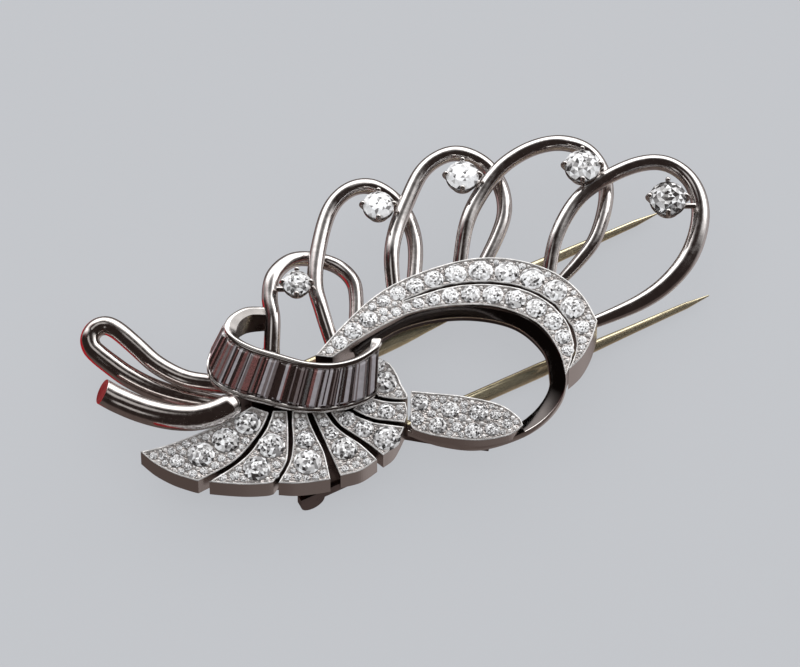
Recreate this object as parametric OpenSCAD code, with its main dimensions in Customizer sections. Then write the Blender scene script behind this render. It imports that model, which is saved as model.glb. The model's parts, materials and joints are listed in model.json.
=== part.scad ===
// Spray clip brooch: five wire loops with claw-set brilliants, a pavé ribbon that
// turns into a polished ring, a channel-set tie, a fan of pavé petals, two wire
// tails and a sprung double-prong clip on the back.
// Millimetres. The brooch lies on its clip: +X along its length, +Z to the front face.

/* [Loops] */
// radius of the loop wire at its fullest
wire_r = 0.8; // [0.5:0.05:1.1]
// height of the loop wire where a loop lies over its neighbour
loop_high = 7.0; // [6.6:0.1:8]
// height of the loop wire where it passes behind its neighbour
loop_low = 5.2; // [4.6:0.1:5.4]
// girdle radius of the smallest solitaire
solitaire_r_small = 1.5; // [1:0.05:1.8]
// girdle radius of the largest solitaire
solitaire_r_large = 2.0; // [1.6:0.05:2.4]
// height of the solitaires' girdles
girdle_z = 8.3; // [7.8:0.1:9]
// radius of a setting claw
claw_r = 0.2; // [0.12:0.02:0.3]

/* [Pavé ribbon] */
// height of the ribbon's face
ribbon_top = 8.0; // [7.6:0.1:8.6]
// depth of the outer ribbon's wall
outer_depth = 4.0; // [3:0.1:4.6]
// depth of the inner ribbon's wall
inner_depth = 3.0; // [2:0.1:4]
// half width of the saw-pierced slot between the two ribbons
slot_half = 0.15; // [0.1:0.01:0.3]
// width of the bright rim left outside the stones
rim = 0.2; // [0.14:0.02:0.5]
// gap left between neighbouring pavé stones
stone_gap = 0.12; // [0.05:0.01:0.3]

/* [Ring] */
// thickness of the polished ring band
ring_depth = 0.7; // [0.5:0.1:2]

/* [Leaf] */
// height of the leaf's face
leaf_top = 6.2; // [5.8:0.1:6.8]
// thickness of the leaf plate
leaf_depth = 1.2; // [0.9:0.1:1.6]

/* [Fan] */
// height of the fan's face
fan_top = 5.7; // [5.4:0.1:6.2]
// depth of the fan's walls
fan_depth = 2.5; // [2:0.1:2.5]
// largest radius of a fan stone
fan_stone_max = 1.4; // [0.8:0.05:1.5]
// width of the rim left on a petal outside its stones
petal_rim = 0.2; // [0.14:0.02:0.4]

/* [Tie] */
// thickness of the tie band under its stones
tie_wall = 0.8; // [0.5:0.05:1.2]
// height of the channel walls beside the baguettes
channel_h = 0.45; // [0.3:0.05:0.6]
// number of baguettes in the tie
baguette_count = 13; // [9:1:17]
// gap between neighbouring baguettes
baguette_gap = 0.12; // [0.06:0.02:0.3]

/* [Tails] */
// radius of the hairpin tail's upper run
hairpin_r = 0.95; // [0.7:0.05:1.2]
// radius of the cut tube
cut_tube_r = 1.3; // [1:0.05:1.5]

/* [Clip] */
// angle of the prongs from the brooch's length
clip_turn = 27.4; // [20:0.2:35]
// distance between the two prongs' axes
prong_spacing = 10.8; // [8:0.1:13]
// length of a prong from the hinge axis to its point
prong_length = 46.2; // [40:0.2:50]
// radius of a prong along its straight part
prong_r = 0.75; // [0.5:0.05:0.9]
// height of the hinge axis above the resting plane
hinge_z = 1.3; // [1.2:0.05:1.3]
// angle the closed prongs drop towards their points
prong_drop = 1.0; // [0:0.1:1.5]
// radius of the fork's barrel
barrel_r = 0.95; // [0.8:0.05:1]
// radius of the hinge pin
pin_r = 0.4; // [0.3:0.02:0.5]
// radial clearance of the pin in the barrel
pin_clearance = 0.04; // [0.02:0.01:0.1]
// half the width of the hinge box along the pin
box_half = 8.6; // [8:0.1:9]
// thickness of a hinge cheek
cheek_t = 0.8; // [0.6:0.05:1.2]
// thickness of the back plate
back_t = 0.6; // [0.5:0.05:0.8]

/* [Hidden] */
// sides of a swept wire
sides = 12;
// spline steps between two control points
steps = 4;
// spline steps between two control points of a plate's edge
edge_steps = 8;
// offset that centres the layout over the origin
centre_shift = [0.1, 2.05, 0];
// hinge centre in the layout plane
hinge_xy = [-12.3, -13.6];
// underside of the back plate
back_z = fan_top - fan_depth - back_t;
// half the prong spacing
prong_half = prong_spacing / 2;
// length of the shouldered root that carries each prong
ferrule_l = 3.4;
// radius of the spigot that holds a prong in its root
spigot_r = 0.55;

// outer edge of the ribbon, from the tie round to the right end
outer_edge = [[-8.1, -8.4], [-5.8, -5.4], [-2.8, -2.1], [0.2, 0.1], [4.3, 1.9], [8.2, 2.8],
  [12.2, 2.5], [15.8, 1.0], [18.3, -1.4], [19.8, -4.4]];
// line between the two ribbons; the slot is pierced along its right part
mid_edge = [[-7.3, -8.6], [-4.9, -6.1], [-1.9, -3.5], [1.6, -1.7], [5.2, -0.4], [9.2, -0.1],
  [13.2, -1.0], [16.4, -3.6], [17.6, -7.1], [16.9, -10.0]];
// inner edge of the ribbon, round the ring's opening
inner_edge = [[-6.4, -8.6], [-3.9, -6.6], [-0.8, -4.6], [2.0, -3.3], [6.2, -2.6], [10.2, -2.9],
  [14.0, -4.8], [16.0, -8.0], [16.6, -10.7]];
// plain end of the outer ribbon
end_edge = [[19.8, -4.4], [19.2, -6.6], [18.2, -8.6], [16.9, -10.0]];

// ring band: outer and inner rails, height last
ring_outer = [[-4.4, -6.9, 7.2], [0.2, -3.9, 7.8], [6.2, -2.6, 7.9], [12.2, -3.7, 7.9],
  [15.4, -6.6, 7.8], [16.6, -9.9, 7.6], [16.4, -12.2, 7.0], [14.8, -14.3, 6.2],
  [12.2, -15.9, 5.6], [8.2, -16.9, 5.0], [4.3, -16.5, 5.0], [1.0, -15.2, 5.0]];
ring_inner = [[-4.1, -7.4, 6.2], [0.6, -4.4, 6.6], [6.2, -3.2, 6.6], [11.3, -4.2, 6.75],
  [14.3, -6.9, 6.6], [15.0, -9.6, 6.2], [14.8, -11.3, 5.8], [13.4, -13.2, 5.2],
  [11.2, -14.6, 4.6], [8.1, -15.4, 4.2], [4.8, -15.2, 4.2], [1.8, -14.0, 4.2]];

// leaf: upper and lower rails from the fan to the tip
leaf_upper = [[1.3, -11.4], [3.1, -11.6], [6.5, -12.0], [10.0, -12.9], [11.9, -14.3], [12.4, -15.3]];
leaf_lower = [[1.3, -15.3], [1.9, -15.9], [4.3, -16.6], [8.0, -17.0], [11.0, -16.4], [12.4, -15.3]];

// tie band: top and bottom rails from the curled left end to the right tip
tie_top = [[-13.2, -2.6, 7.2], [-14.9, -3.0, 7.8], [-16.2, -4.2, 8.4], [-16.6, -5.6, 8.8],
  [-16.0, -6.8, 9.0], [-14.2, -7.9, 9.0], [-11.6, -8.8, 9.0], [-9.0, -9.6, 9.0],
  [-6.4, -9.8, 9.0], [-4.1, -9.2, 9.0], [-2.4, -8.0, 9.0], [-1.8, -7.0, 9.0]];
tie_bottom = [[-13.4, -3.2, 5.0], [-15.7, -3.9, 5.4], [-17.7, -6.2, 6.0], [-18.6, -8.8, 6.6],
  [-18.2, -10.9, 6.5], [-16.2, -12.1, 6.4], [-13.2, -13.0, 6.4], [-10.3, -13.8, 6.4],
  [-7.5, -14.0, 6.4], [-4.7, -13.5, 6.4], [-2.7, -12.5, 6.4], [-2.0, -11.2, 6.5]];

// loops: x, y, height and wire radius, from the left foot over the top to the right foot
loop_1 = [[-12.5, -7.2, 6.2, 1], [-12.4, -3.8, loop_high, 1], [-12.7, -1.1, loop_high, 1],
  [-12.3, 1.4, 6.9, 1], [-10.7, 3.5, 6.2, 0.95], [-8.6, 4.2, 5.4, 0.95],
  [-6.1, 3.5, loop_low, 0.95], [-4.5, 1.8, loop_low, 0.95], [-4.1, -0.4, loop_low, 0.9],
  [-4.2, -3.4, loop_low, 0.85]];
loop_2 = [[-6.3, -6.6, 6.2, 0.9], [-7.5, -2.7, loop_high, 0.95], [-8.2, 0.6, loop_high, 1],
  [-7.8, 4.9, loop_high, 1], [-6.7, 9.1, loop_high, 1], [-4.8, 11.3, loop_high, 1],
  [-2.5, 12.0, 6.4, 1], [-0.2, 10.9, 5.4, 1], [1.2, 8.5, loop_low, 1], [1.8, 5.3, loop_low, 0.95],
  [1.5, 0.2, loop_low, 0.9]];
loop_3 = [[-0.3, -0.6, 6.2, 0.9], [-0.6, 3.2, loop_high, 0.95], [-0.2, 6.4, loop_high, 1],
  [0.8, 9.5, loop_high, 1], [2.4, 13.3, loop_high, 1], [4.5, 15.2, loop_high, 1],
  [6.6, 15.7, 6.6, 1], [8.8, 15.0, 5.6, 1], [10.3, 12.8, loop_low, 1], [10.7, 9.9, loop_low, 0.95],
  [9.9, 6.8, loop_low, 0.9], [7.9, 2.2, loop_low, 0.85]];
loop_4 = [[6.1, 2.0, 6.2, 0.9], [6.8, 6.9, loop_high, 0.95], [8.1, 10.4, loop_high, 1],
  [10.3, 13.8, loop_high, 1], [13.2, 16.0, loop_high, 1], [16.2, 16.9, 6.8, 1], [18.8, 16.7, 5.8, 1],
  [20.4, 14.8, loop_low, 1], [20.9, 11.5, loop_low, 0.95], [19.9, 7.1, loop_low, 0.9],
  [18.1, 4.1, loop_low, 0.8], [15.2, 0.6, loop_low, 0.6]];
loop_5 = [[14.9, 0.9, 6.2, 0.9], [15.8, 5.7, loop_high, 0.9], [17.8, 9.9, loop_high, 0.95],
  [20.6, 12.5, loop_high, 0.95], [24.2, 14.3, loop_high, 1], [27.1, 14.4, 6.8, 1],
  [29.4, 12.6, 6.4, 1.05], [30.3, 9.4, 6.0, 1.15], [29.5, 5.4, 5.6, 1.2], [27.4, 2.0, 5.4, 1.15],
  [24.1, -0.7, loop_low, 1], [18.6, -3.4, loop_low, 0.7]];

// solitaires: x, y, size from 0 (smallest) to 1 (largest), angle of the peg to the wire
solitaires = [[-10.0, -0.3, 0, 180], [-1.9, 8.7, 0.35, 16], [6.5, 12.2, 0.55, 0],
  [18.5, 13.3, 0.85, -20], [27.0, 9.6, 1, 0]];

// petals: left rail, outer edge and right rail, each from the tie outwards
petal_1 = [[[-14.4, -12.9], [-17.0, -14.6], [-20.0, -16.1], [-23.1, -17.4], [-25.3, -18.0]],
  [[-23.9, -19.3], [-22.1, -20.4], [-20.3, -21.1]],
  [[-12.7, -13.6], [-13.4, -15.4], [-14.8, -17.6], [-16.5, -19.4], [-19.6, -21.3]]];
petal_2 = [[[-12.3, -13.4], [-12.9, -15.4], [-14.3, -17.8], [-15.9, -19.5], [-18.5, -21.4]],
  [[-16.6, -21.6], [-14.7, -21.7], [-12.9, -21.6]],
  [[-10.9, -13.4], [-10.8, -15.0], [-10.8, -18.3], [-11.2, -19.8], [-12.2, -21.4]]];
petal_3 = [[[-10.4, -13.4], [-10.4, -15.0], [-10.3, -17.0], [-10.6, -19.2], [-11.7, -21.5]],
  [[-10.1, -21.6], [-8.2, -21.4]],
  [[-9.0, -13.4], [-8.6, -14.8], [-8.0, -16.3], [-7.2, -18.2], [-6.6, -21.1]]];
petal_4 = [[[-8.5, -13.4], [-8.0, -14.7], [-7.3, -16.4], [-6.6, -18.2], [-5.6, -20.7]],
  [[-3.6, -20.1]],
  [[-7.2, -13.4], [-6.3, -14.9], [-5.2, -16.0], [-3.6, -17.2], [-2.0, -18.9]]];
petal_5 = [[[-6.7, -13.4], [-5.7, -14.9], [-4.6, -15.8], [-3.0, -17.0], [-1.4, -18.4]],
  [[-0.3, -17.4]],
  [[-4.8, -13.4], [-3.6, -14.2], [-2.4, -14.7], [-1.0, -14.95], [0.7, -15.2]]];
petal_6 = [[[-4.4, -13.2], [-3.4, -13.8], [-2.2, -14.3], [-0.9, -14.5], [0.7, -14.7]],
  [[1.0, -13.6]],
  [[-2.9, -11.8], [-2.0, -12.1], [-1.2, -12.3], [-0.2, -12.4], [0.8, -12.4]]];
petal_7 = [[[-2.9, -8.0], [-2.9, -9.2], [-2.7, -10.2], [-2.4, -11.0], [-1.9, -11.7]],
  [[-0.5, -12.0], [0.9, -12.0]],
  [[-1.6, -7.5], [-0.8, -8.0], [-0.1, -9.1], [0.4, -10.4], [0.9, -11.4]]];
petals = [petal_1, petal_2, petal_3, petal_4, petal_5, petal_6, petal_7];

// tails: x, y, height and a radius factor
hairpin_path = [[-15.8, -10.5, 5.8, 0.96], [-18.6, -10.3, 5.8, 1], [-21.2, -9.75, 5.8, 1],
  [-23.8, -8.2, 5.8, 1], [-25.8, -6.2, 5.8, 1], [-27.2, -4.8, 5.8, 1], [-28.1, -4.0, 5.7, 1],
  [-28.9, -3.6, 5.6, 1], [-29.7, -3.7, 5.5, 1], [-30.3, -4.2, 5.3, 1],
  [-30.55, -5.0, 5.2, 1.02], [-30.3, -5.8, 5.0, 1.05], [-29.6, -6.55, 4.9, 1.08],
  [-28.5, -7.45, 4.75, 1.1], [-26.8, -8.75, 4.6, 1.12], [-24.6, -9.95, 4.4, 1.12],
  [-22.2, -10.75, 4.1, 1.12], [-19.2, -11.4, 3.9, 1.1], [-16.4, -12.1, 4.2, 0.96]];
cut_tube_path = [[-29.4, -11.4, 6.4, 1], [-27.8, -12.4, 6.4, 1], [-25.8, -13.4, 6.4, 1],
  [-23.8, -14.1, 6.4, 1], [-21.8, -14.5, 6.4, 1], [-19.8, -14.5, 6.4, 1], [-17.8, -13.9, 6.4, 1],
  [-15.6, -12.6, 6.4, 0.95]];

// ---- curves ----
function spline_at(a, b, c, d, t) =
  0.5 * (2 * b + (c - a) * t + (2 * a - 5 * b + 4 * c - d) * t * t
    + (3 * b - a - 3 * c + d) * t * t * t);
function spline(p, n = steps) =
  [for (i = [0 : len(p) - 2]) for (j = [0 : n - 1])
    spline_at(p[max(i - 1, 0)], p[i], p[i + 1], p[min(i + 2, len(p) - 1)], j / n), p[len(p) - 1]];
function unit(v) = v / norm(v);
function xyz(p) = [p[0], p[1], p[2]];
function reversed(p) = [for (i = [len(p) - 1 : -1 : 0]) p[i]];
function run(p, i = 0, done = [0]) =
  i >= len(p) - 1 ? done : run(p, i + 1, concat(done, [done[i] + norm(p[i + 1] - p[i])]));
function length_of(c) = c[len(c) - 1];
function along(p, c, f) =
  [for (k = [0 : len(p[0]) - 1]) lookup(f * length_of(c), [for (i = [0 : len(p) - 1]) [c[i], p[i][k]]])];
function part_of(p, c, f0, f1, n) = [for (i = [0 : n]) along(p, c, f0 + (f1 - f0) * i / n)];
function heading(p, i) = unit(xyz(p[min(i + 1, len(p) - 1)]) - xyz(p[max(i - 1, 0)]));
function mix(a, b, f) = a + (b - a) * f;
function rest(p) = [for (i = [1 : len(p) - 1]) p[i]];

// ---- swept bodies ----
module skin(rings) {
  n = len(rings);
  m = len(rings[0]);
  points = [for (r = rings) for (q = r) q];
  near_end = [[for (j = [0 : m - 1]) j]];
  far_end = [[for (j = [m - 1 : -1 : 0]) (n - 1) * m + j]];
  walls = [for (i = [0 : n - 2]) for (j = [0 : m - 1]) let (k = (j + 1) % m)
    each [[i * m + j, (i + 1) * m + j, (i + 1) * m + k], [i * m + j, (i + 1) * m + k, i * m + k]]];
  polyhedron(points, concat(near_end, walls, far_end), convexity = 8);
}

module wire(path, r) {
  p = spline(path);
  skin([for (i = [0 : len(p) - 1])
    let (h = heading(p, i), s = unit(cross([0, 0, 1], h)), u = cross(h, s))
    [for (k = [0 : sides - 1]) xyz(p[i]) + r * p[i][3] * (s * cos(360 * k / sides) + u * sin(360 * k / sides))]]);
}

// ---- stones ----
// pavé stone: x, y and girdle radius; the girdle lies level with the plate's face
module pave_stone(s, top) {
  translate([s[0], s[1], top])
    rotate_extrude($fn = 24)
      polygon([[0, -0.72 * s[2]], [0.12 * s[2], -0.72 * s[2]], [s[2], 0], [0.56 * s[2], 0.3 * s[2]],
        [0, 0.3 * s[2]]]);
}

// conical seat with an open-backed hole below it
module pave_seats(list, top, depth) {
  for (s = list)
    translate([s[0], s[1], top])
      rotate_extrude($fn = 24)
        polygon([[0, -depth - 1], [0.5 * s[2], -depth - 1], [0.5 * s[2], -0.409 * s[2]], [s[2], 0],
          [s[2], 0.5], [0, 0.5]]);
}

// stones along the middle of two rails, each as large as the width there allows
function spot(a, b, ca, cb, f, edge, biggest) =
  let (p = along(a, ca, min(f, 1)), q = along(b, cb, min(f, 1)), m = (p + q) / 2)
  [m[0], m[1], max(0.3, min(biggest, norm(p - q) / 2 - edge))];
function apart(s, t) = norm([t[0] - s[0], t[1] - s[1]]) / (s[2] + t[2] + stone_gap);
function next_f(a, b, ca, cb, f, g, s, edge, biggest, tries = 5) =
  tries == 0 ? g :
  let (t = spot(a, b, ca, cb, g, edge, biggest))
  next_f(a, b, ca, cb, f, f + (g - f) / max(0.3, apart(s, t)), s, edge, biggest, tries - 1);
function row(a, b, ca, cb, f, last, edge, biggest, done = []) =
  f > last ? done :
  let (s = spot(a, b, ca, cb, f, edge, biggest), g = next_f(a, b, ca, cb, f, f + 0.05, s, edge, biggest))
  row(a, b, ca, cb, g, last, edge, biggest, concat(done, [s]));
function rail_row(a, b, first, last, edge, biggest) =
  let (p = spline(a), q = spline(b)) row(p, q, run(p), run(q), first, last, edge, biggest);

lead_row = rail_row(outer_edge, inner_edge, 0.07, 0.2, rim, 0.95);
outer_row = rail_row(outer_edge, mid_edge, 0.26, 0.885, rim + slot_half / 2, 1.25);
inner_row = rail_row(mid_edge, inner_edge, 0.27, 0.93, rim + slot_half / 2, 1.1);
leaf_pave = [[2.2, -12.7, 0.95], [1.9, -14.5, 0.75], [3.75, -13, 0.5], [5.2, -13.5, 0.95],
  [4.0, -15.3, 0.95], [6.6, -12.9, 0.4], [8.0, -13.8, 1.0], [5.85, -15.5, 0.6], [7.5, -15.9, 0.9],
  [9.7, -14.1, 0.6], [9.35, -15.7, 0.8], [10.85, -15.1, 0.55]];

// single stones that fill the ribbon where its rows meet and end
ribbon_fill = [[-1.4, -3.35, 0.45], [-0.3, -2.45, 0.28], [18.25, -5.1, 0.8],
  [18.95, -3.95, 0.32], [18.3, -6.6, 0.45]];
outer_stones = concat(lead_row, outer_row, ribbon_fill);

// small stones that fill a petal's corners, kept only where the main row leaves room
corner_stones = [
  [[-21.7, -19.05, 0.75], [-23.1, -18.5, 0.4], [-20.1, -20.45, 0.45], [-17.7, -18.95, 0.42],
    [-15.0, -16.75, 0.4], [-21.5, -17.55, 0.3], [-18.3, -16.15, 0.35]],
  [[-17.2, -20.9, 0.42], [-16.0, -20.7, 0.5], [-12.0, -20.6, 0.4], [-11.6, -17.4, 0.35]],
  [[-10.9, -20.8, 0.42], [-7.3, -20.4, 0.42], [-9.6, -20.8, 0.45], [-8.4, -20.7, 0.45]],
  [[-5.2, -19.9, 0.42], [-3.0, -19.1, 0.42], [-4.1, -19.4, 0.4]],
  [[0.0, -15.9, 0.4], [-2.1, -17.3, 0.4], [-0.7, -17.2, 0.35]],
  [[0.3, -14.0, 0.35], [0.2, -13.0, 0.35]],
  [[-0.3, -11.3, 0.4], [-2.2, -11.2, 0.35], [-1.0, -8.6, 0.35]]];
// how far along each petal its main row runs
petal_last = [0.92, 0.84, 0.84, 0.84, 0.92, 0.88, 0.84];

function petal_main(i) =
  rail_row(petals[i][0], petals[i][2], i == 6 ? 0.12 : 0.18, petal_last[i], petal_rim, fan_stone_max);
function petal_row(i) =
  let (main = petal_main(i))
  concat(main, [for (e = corner_stones[i])
    if (min([for (s = main) norm([s[0] - e[0], s[1] - e[1]]) - s[2] - e[2]]) > 0.05) e]);

module place() {
  translate(centre_shift)
    children();
}

// ---- plates ----
module outline(points) {
  polygon(points);
}

module slab(bottom, top) {
  translate([0, 0, bottom])
    linear_extrude(height = top - bottom)
      children();
}

// mid line and inner edge split at the slot's left end
slot_steps = 24;
mid_curve = spline(mid_edge);
mid_right = part_of(mid_curve, run(mid_curve), 0.3, 1, slot_steps);
inner_curve = spline(inner_edge);
inner_right = part_of(inner_curve, run(inner_curve), 0.3, 1, slot_steps);
inner_left = part_of(inner_curve, run(inner_curve), 0, 0.3, 10);
function slot_side(w) =
  [for (i = [0 : slot_steps])
    let (h = heading([for (q = mid_right) [q[0], q[1], 0]], i),
      taper = min(1, 0.2 + i / 4, 0.2 + (slot_steps - i) / 4))
    mid_right[i] + w * taper * [-h[1], h[0]]];

module outer_ribbon_outline() {
  outline(concat(spline(outer_edge, edge_steps), rest(spline(end_edge, edge_steps)),
    rest(reversed(slot_side(slot_half))),
    reversed(inner_left)));
}

module inner_ribbon_outline() {
  outline(concat(slot_side(-slot_half), reversed(inner_right)));
}

module outer_ribbon() {
  place()
    color([0.72, 0.71, 0.69])
    difference() {
      slab(ribbon_top - outer_depth, ribbon_top)
        outer_ribbon_outline();
      pave_seats(outer_stones, ribbon_top, outer_depth);
      pave_seats(inner_row, ribbon_top, outer_depth);
    }
}

module inner_ribbon() {
  place()
    color([0.72, 0.71, 0.69])
    difference() {
      slab(ribbon_top - inner_depth, ribbon_top)
        inner_ribbon_outline();
      pave_seats(inner_row, ribbon_top, inner_depth);
    }
}

module outer_ribbon_stones() {
  place()
    color([0.9, 0.92, 0.95])
    for (s = concat(outer_stones, [for (q = inner_row) if (q[0] < 1.6) q]))
      pave_stone(s, ribbon_top);
}

module inner_ribbon_stones() {
  place()
    color([0.9, 0.92, 0.95])
    for (s = inner_row)
      if (s[0] >= 1.6)
        pave_stone(s, ribbon_top);
}

module ring_band() {
  a = spline(ring_outer);
  b = spline(ring_inner);
  place()
    color([0.5, 0.49, 0.48])
    skin([for (i = [0 : len(a) - 1])
      [a[i], b[i], b[i] - [0, 0, ring_depth], a[i] - [0, 0, ring_depth + 0.3]]]);
}

module leaf_plate() {
  place()
    color([0.72, 0.71, 0.69])
    difference() {
      slab(leaf_top - leaf_depth, leaf_top)
        outline(concat(spline(leaf_upper, edge_steps), rest(reversed(spline(leaf_lower, edge_steps)))));
      pave_seats(leaf_pave, leaf_top, leaf_depth);
    }
}

module leaf_stones() {
  place()
    color([0.9, 0.92, 0.95])
    for (s = leaf_pave)
      pave_stone(s, leaf_top);
}

module petal(i) {
  p = petals[i];
  place()
    color([0.72, 0.71, 0.69])
    difference() {
      slab(fan_top - fan_depth, fan_top)
        outline(concat(spline(p[0], edge_steps), rest(spline(concat([p[0][4]], p[1], [p[2][4]]), edge_steps)),
          rest(reversed(spline(p[2], edge_steps)))));
      pave_seats(petal_row(i), fan_top, fan_depth);
    }
}

module petal_stones(i) {
  place()
    color([0.9, 0.92, 0.95])
    for (s = petal_row(i))
      pave_stone(s, fan_top);
}

// ---- tie ----
tie_a = spline(tie_top);
tie_b = spline(tie_bottom);
function tie_out(i) =
  unit(cross(tie_b[i] - tie_a[i], tie_a[min(i + 1, len(tie_a) - 1)] - tie_a[max(i - 1, 0)]));
function tie_point(i, f, h) = mix(tie_a[i], tie_b[i], f) + h * tie_out(i);

module tie_band() {
  place()
    color([0.7, 0.69, 0.67])
      skin([for (i = [0 : len(tie_a) - 1]) [
        tie_point(i, 0, channel_h), tie_point(i, 0.12, channel_h), tie_point(i, 0.13, 0),
        tie_point(i, 0.89, 0), tie_point(i, 0.9, channel_h), tie_point(i, 1, channel_h),
        tie_point(i, 1, -tie_wall), tie_point(i, 0, -tie_wall)]]);
}

// a baguette spans the channel between two stations of the tie
tie_outer = [for (i = [0 : len(tie_a) - 1]) tie_point(i, 0.5, channel_h)];
tie_run = run(tie_outer);
function tie_station(f) =
  lookup(f * length_of(tie_run), [for (i = [0 : len(tie_run) - 1]) [tie_run[i], i]]);
function tie_at(g, f, h) =
  let (i = min(floor(g), len(tie_a) - 2)) mix(tie_point(i, f, h), tie_point(i + 1, f, h), g - i);

module baguette(k) {
  f0 = 0.2 + 0.78 * k / baguette_count;
  f1 = 0.2 + 0.78 * (k + 1) / baguette_count;
  inset = baguette_gap / 2 / length_of(tie_run);
  a = tie_station(f0 + inset);
  b = tie_station(f1 - inset);
  t = (b - a) * 0.2;
  skin([
    [tie_at(a, 0.135, 0.01), tie_at(b, 0.135, 0.01), tie_at(b, 0.885, 0.01), tie_at(a, 0.885, 0.01)],
    [tie_at(a, 0.135, 0.3), tie_at(b, 0.135, 0.3), tie_at(b, 0.885, 0.3), tie_at(a, 0.885, 0.3)],
    [tie_at(a + t, 0.19, 0.5), tie_at(b - t, 0.19, 0.5), tie_at(b - t, 0.83, 0.5), tie_at(a + t, 0.83, 0.5)]]);
}

module tie_baguettes() {
  place()
    color([0.85, 0.87, 0.9])
    for (k = [0 : baguette_count - 1])
      baguette(k);
}

// ---- solitaires ----
function solitaire_r(i) = mix(solitaire_r_small, solitaire_r_large, solitaires[i][2]);

module setting(i) {
  s = solitaires[i];
  r = solitaire_r(i);
  bottom = girdle_z - 0.95 * r;
  place()
    color([0.68, 0.66, 0.63])
    translate([s[0], s[1], 0]) {
      difference() {
        translate([0, 0, bottom])
          cylinder(h = 0.85 * r, r1 = 0.6 * r, r2 = 0.96 * r, $fn = 32);
        translate([0, 0, bottom - 0.1])
          cylinder(h = 0.1 + 0.86 * r, r1 = 0.4 * r, r2 = 0.83 * r, $fn = 32);
      }
      for (a = [0 : 90 : 270])
        rotate([0, 0, a])
          translate([0.98 * r, 0, bottom + 0.4 * r]) {
            cylinder(h = 0.72 * r, r = claw_r, $fn = 16);
            translate([-0.04, 0, 0.72 * r])
              sphere(r = claw_r * 1.15, $fn = 16);
          }
      rotate([0, 0, s[3]])
        translate([0.5 * r, 0, bottom + 0.15 * r])
          rotate([0, 90, 0])
            cylinder(h = 0.42 * r + 1, r = 0.28, $fn = 16);
    }
}

module brilliant(i) {
  s = solitaires[i];
  r = solitaire_r(i) * 0.94;
  place()
    color([0.92, 0.94, 0.97])
    translate([s[0], s[1], girdle_z]) {
      translate([0, 0, -0.86 * r])
        cylinder(h = 0.86 * r, r1 = 0.04, r2 = r, $fn = 8);
      cylinder(h = 0.05 * r, r = r, $fn = 8);
      translate([0, 0, 0.05 * r])
        cylinder(h = 0.3 * r, r1 = r, r2 = 0.6 * r, $fn = 8);
    }
}

// ---- back and clip ----
module clip_frame() {
  translate([hinge_xy[0], hinge_xy[1], hinge_z])
    rotate([0, 0, clip_turn])
      children();
}

module knot_core() {
  place()
    color([0.6, 0.59, 0.57])
    slab(back_z + back_t, 6.2)
      polygon([[-15.0, -9.2], [-14.4, -11.8], [-10, -12.4], [-6, -12.6], [-3.6, -11.6], [-3.4, -9.6],
        [-6.0, -8.6], [-8.4, -8.2], [-11.6, -8.9]]);
}

module back_plate() {
  place()
    color([0.6, 0.59, 0.57])
    slab(back_z, back_z + back_t)
      polygon([[-22.2, -18.6], [-18.0, -20.2], [-12, -20.6], [-7, -20.2], [-3.4, -18.4], [0.2, -15.6],
        [0.4, -12], [-1.8, -9], [-8.2, -8.4], [-14.4, -5.4], [-17.6, -7.2], [-16.2, -12.4]]);
}

module ring_strut() {
  place()
    color([0.6, 0.59, 0.57])
      slab(back_z, back_z + back_t)
        polygon([[0.2, -14.8], [0.4, -13.4], [5.8, -14.6], [9.2, -15.4], [9.0, -16.2], [5.4, -15.8]]);
}

module cheek(y) {
  translate([0, y, 0])
    rotate([90, 0, 0])
      difference() {
        union() {
          cylinder(h = cheek_t, r = hinge_z, center = true, $fn = 48);
          translate([-hinge_z, 0, -cheek_t / 2])
            cube([2 * hinge_z + 3.4, back_z - hinge_z, cheek_t]);
        }
        cylinder(h = cheek_t + 1, r = pin_r, center = true, $fn = 48);
      }
}

module hinge_box() {
  place()
    color([0.55, 0.54, 0.52])
    clip_frame() {
      cheek(box_half - cheek_t / 2);
      cheek(cheek_t / 2 - box_half);
    }
}

module hinge_pin() {
  place()
    color([0.6, 0.58, 0.55])
    clip_frame()
      rotate([90, 0, 0])
        cylinder(h = 2 * box_half, r = pin_r, center = true, $fn = 48);
}

module leaf_spring() {
  place()
    color([0.5, 0.49, 0.47])
    clip_frame()
      translate([-3.2, -1.6, back_z - hinge_z - 0.15])
        cube([5.4, 3.2, 0.15]);
}

module closed_prongs() {
  clip_frame()
    rotate([0, prong_drop, 0])
      children();
}

module fork_bar() {
  place()
    color([0.78, 0.66, 0.36])
    closed_prongs() {
      difference() {
        union() {
          rotate([90, 0, 0])
            cylinder(h = 2 * (box_half - cheek_t - 0.15), r = barrel_r, center = true, $fn = 48);
          for (y = [-prong_half, prong_half])
            translate([0, y, 0])
              rotate([0, 90, 0])
                cylinder(h = ferrule_l, r = barrel_r, $fn = 48);
        }
        rotate([90, 0, 0])
          cylinder(h = 2 * box_half + 2, r = pin_r + pin_clearance, center = true, $fn = 48);
        for (y = [-prong_half, prong_half])
          translate([1.2, y, 0])
            rotate([0, 90, 0])
              cylinder(h = ferrule_l, r = spigot_r, $fn = 48);
      }
    }
}

module prong(y) {
  place()
    color([0.83, 0.71, 0.38])
    closed_prongs()
      translate([0, y, 0])
        rotate([0, 90, 0]) {
          translate([0, 0, 1.2])
            cylinder(h = ferrule_l - 1.1, r = spigot_r, $fn = 48);
          translate([0, 0, ferrule_l])
            cylinder(h = 27 - ferrule_l, r = prong_r, $fn = 48);
          translate([0, 0, 27])
            cylinder(h = 10, r1 = prong_r, r2 = prong_r * 0.62, $fn = 48);
          translate([0, 0, 37])
            cylinder(h = prong_length - 39.6, r1 = prong_r * 0.62, r2 = prong_r * 0.45, $fn = 48);
          translate([0, 0, prong_length - 2.6])
            cylinder(h = 2.6, r1 = prong_r * 0.45, r2 = 0.06, $fn = 48);
        }
}

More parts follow.
